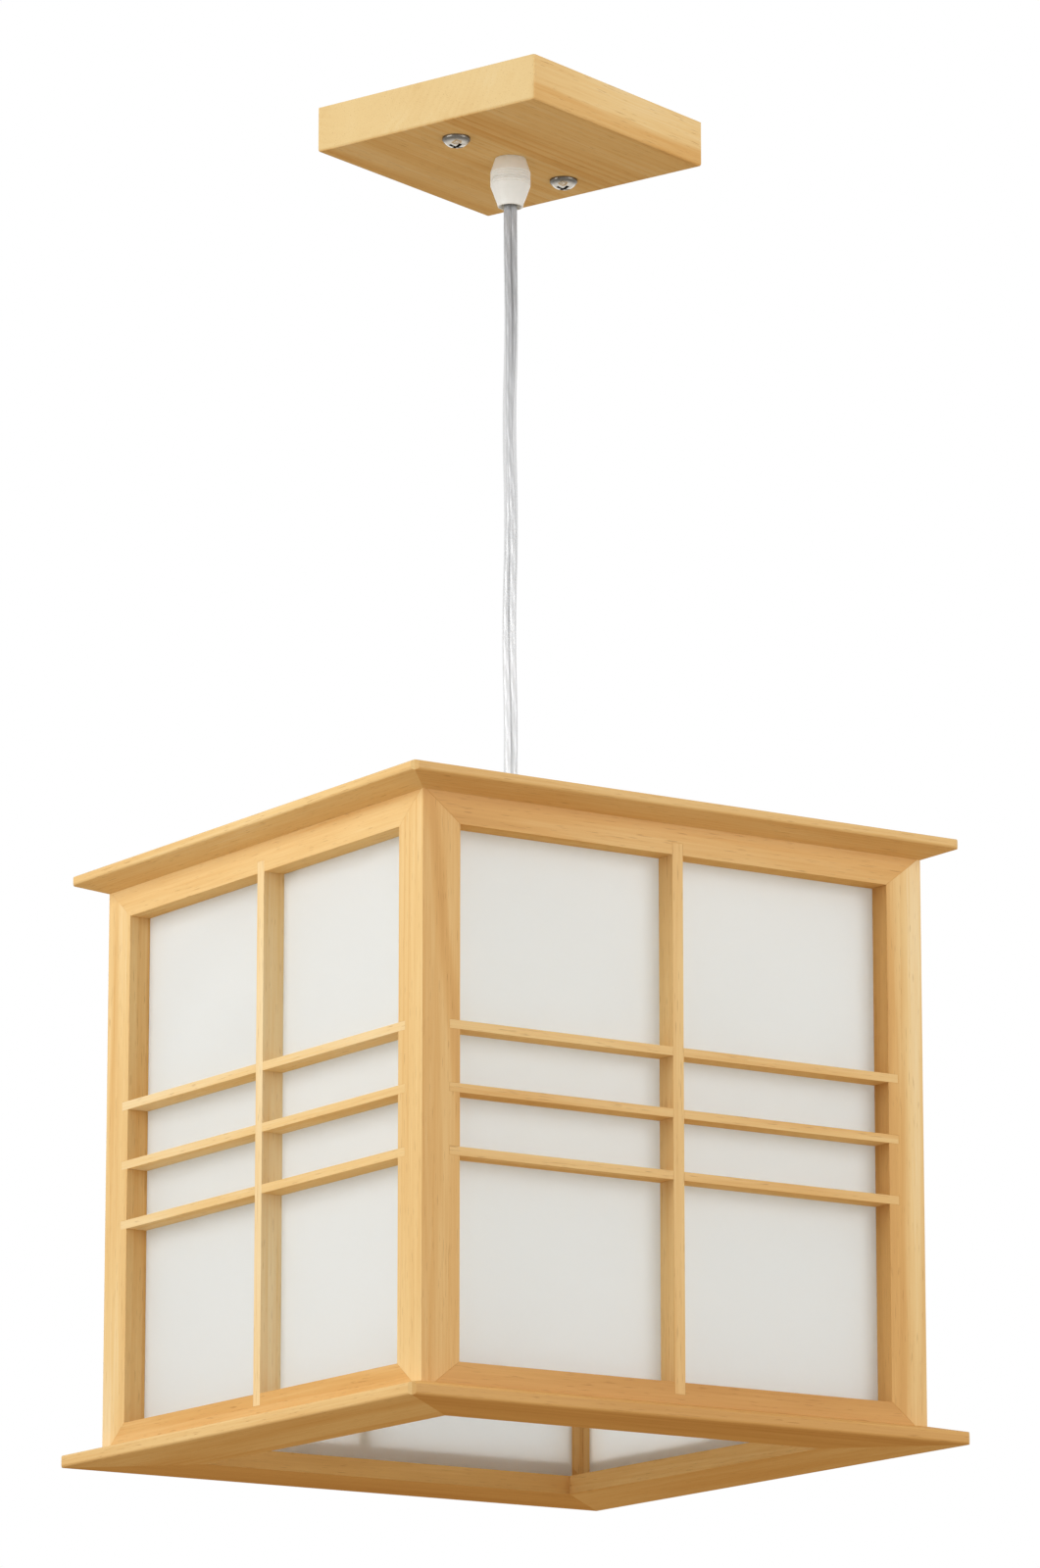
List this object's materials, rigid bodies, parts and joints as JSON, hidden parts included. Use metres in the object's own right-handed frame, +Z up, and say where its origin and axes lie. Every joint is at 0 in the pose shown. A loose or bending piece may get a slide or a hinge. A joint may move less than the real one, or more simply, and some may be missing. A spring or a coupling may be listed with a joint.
{
  "type": "wooden pendant ceiling lamp",
  "caption": "Square wooden pendant lantern with barred white panels and an open bottom, hung on a clear cord from a small wooden ceiling plate.",
  "frame": {"origin": "on the ceiling plane, over the middle of the lantern and of the ceiling plate", "axes": "+Z up into the ceiling; the lantern's sides face along X and Y, with its front facing -Y"},
  "size_m": [0.277, 0.277, 0.59],
  "materials": {
    "light_wood": "clear satin lacquer on pale golden wood",
    "white_sheet": "translucent white sheet",
    "zinc_steel": "zinc plated",
    "bright_screw": "nickel plated",
    "milky_plastic": "milky translucent",
    "block_plastic": "moulded",
    "clear_cord": "clear jacket over tinned cores",
    "core_wire": "clear insulation over tinned strands",
    "holder_plastic": "moulded",
    "holder_ceramic": "fired",
    "contact_brass": "plain",
    "bulb_metal": "rolled screw cap",
    "bulb_glass": "frosted"
  },
  "bodies": {
    "ceiling_mount": {"ceiling_plate": "light_wood", "ceiling_bracket": "zinc_steel", "plate_screws": "bright_screw", "grip_body": "milky_plastic", "grip_cap": "milky_plastic", "grip_locknut": "milky_plastic", "terminal_block": "block_plastic", "cord_tail": "clear_cord", "cord_cores": "core_wire"},
    "cord_bend": {"cord_neck": "clear_cord"},
    "hanging_cord": {"supply_cord": "clear_cord"},
    "lantern": {"front_left_stile": "light_wood", "front_right_stile": "light_wood", "front_top_rail": "light_wood", "front_bottom_rail": "light_wood", "front_upright_bar": "light_wood", "front_cross_bars": "light_wood", "front_cornice": "light_wood", "front_ring": "light_wood", "right_left_stile": "light_wood", "right_right_stile": "light_wood", "right_top_rail": "light_wood", "right_bottom_rail": "light_wood", "right_upright_bar": "light_wood", "right_cross_bars": "light_wood", "right_cornice": "light_wood", "right_ring": "light_wood", "back_left_stile": "light_wood", "back_right_stile": "light_wood", "back_top_rail": "light_wood", "back_bottom_rail": "light_wood", "back_upright_bar": "light_wood", "back_cross_bars": "light_wood", "back_cornice": "light_wood", "back_ring": "light_wood", "left_left_stile": "light_wood", "left_right_stile": "light_wood", "left_top_rail": "light_wood", "left_bottom_rail": "light_wood", "left_upright_bar": "light_wood", "left_cross_bars": "light_wood", "left_cornice": "light_wood", "left_ring": "light_wood", "front_panel": "white_sheet", "right_panel": "white_sheet", "back_panel": "white_sheet", "left_panel": "white_sheet", "hanger_bar": "light_wood", "hanger_screws": "zinc_steel", "nipple": "zinc_steel", "lower_cord_grip": "milky_plastic", "lampholder_cap": "holder_plastic", "lampholder_shell": "holder_plastic", "lampholder_insert": "holder_ceramic", "screw_shell": "contact_brass", "centre_contact": "contact_brass"},
    "bulb_carrier": {"bulb_contact": "contact_brass"},
    "bulb": {"bulb_cap": "bulb_metal", "bulb_globe": "bulb_glass"}
  },
  "joints": [
    {"name": "swing_front_back", "type": "hinge", "parent": "ceiling_mount", "child": "cord_bend", "pos_m": [0, 0, -0.04], "axis": [1, 0, 0], "range_deg": [-20, 20]},
    {"name": "swing_left_right", "type": "hinge", "parent": "cord_bend", "child": "hanging_cord", "pos_m": [0, 0, -0.04], "axis": [0, 1, 0], "range_deg": [-20, 20]},
    {"name": "lantern_turn", "type": "hinge", "parent": "hanging_cord", "child": "lantern", "pos_m": [0, 0, -0.3322], "axis": [0, 0, 1], "range_deg": [-180, 180]},
    {"name": "bulb_travel", "type": "slide", "parent": "lantern", "child": "bulb_carrier", "axis": [0, 0, -1], "range_m": [0, 0.02]},
    {"name": "bulb_turn", "type": "hinge", "parent": "bulb_carrier", "child": "bulb", "pos_m": [0, 0, -0.4], "axis": [0, 0, -1], "range_deg": [0, 1980]}
  ],
  "couplings": [
    {"joint": "bulb_travel", "follows": "bulb_turn", "m_per_rad": 0.00057757}
  ]
}
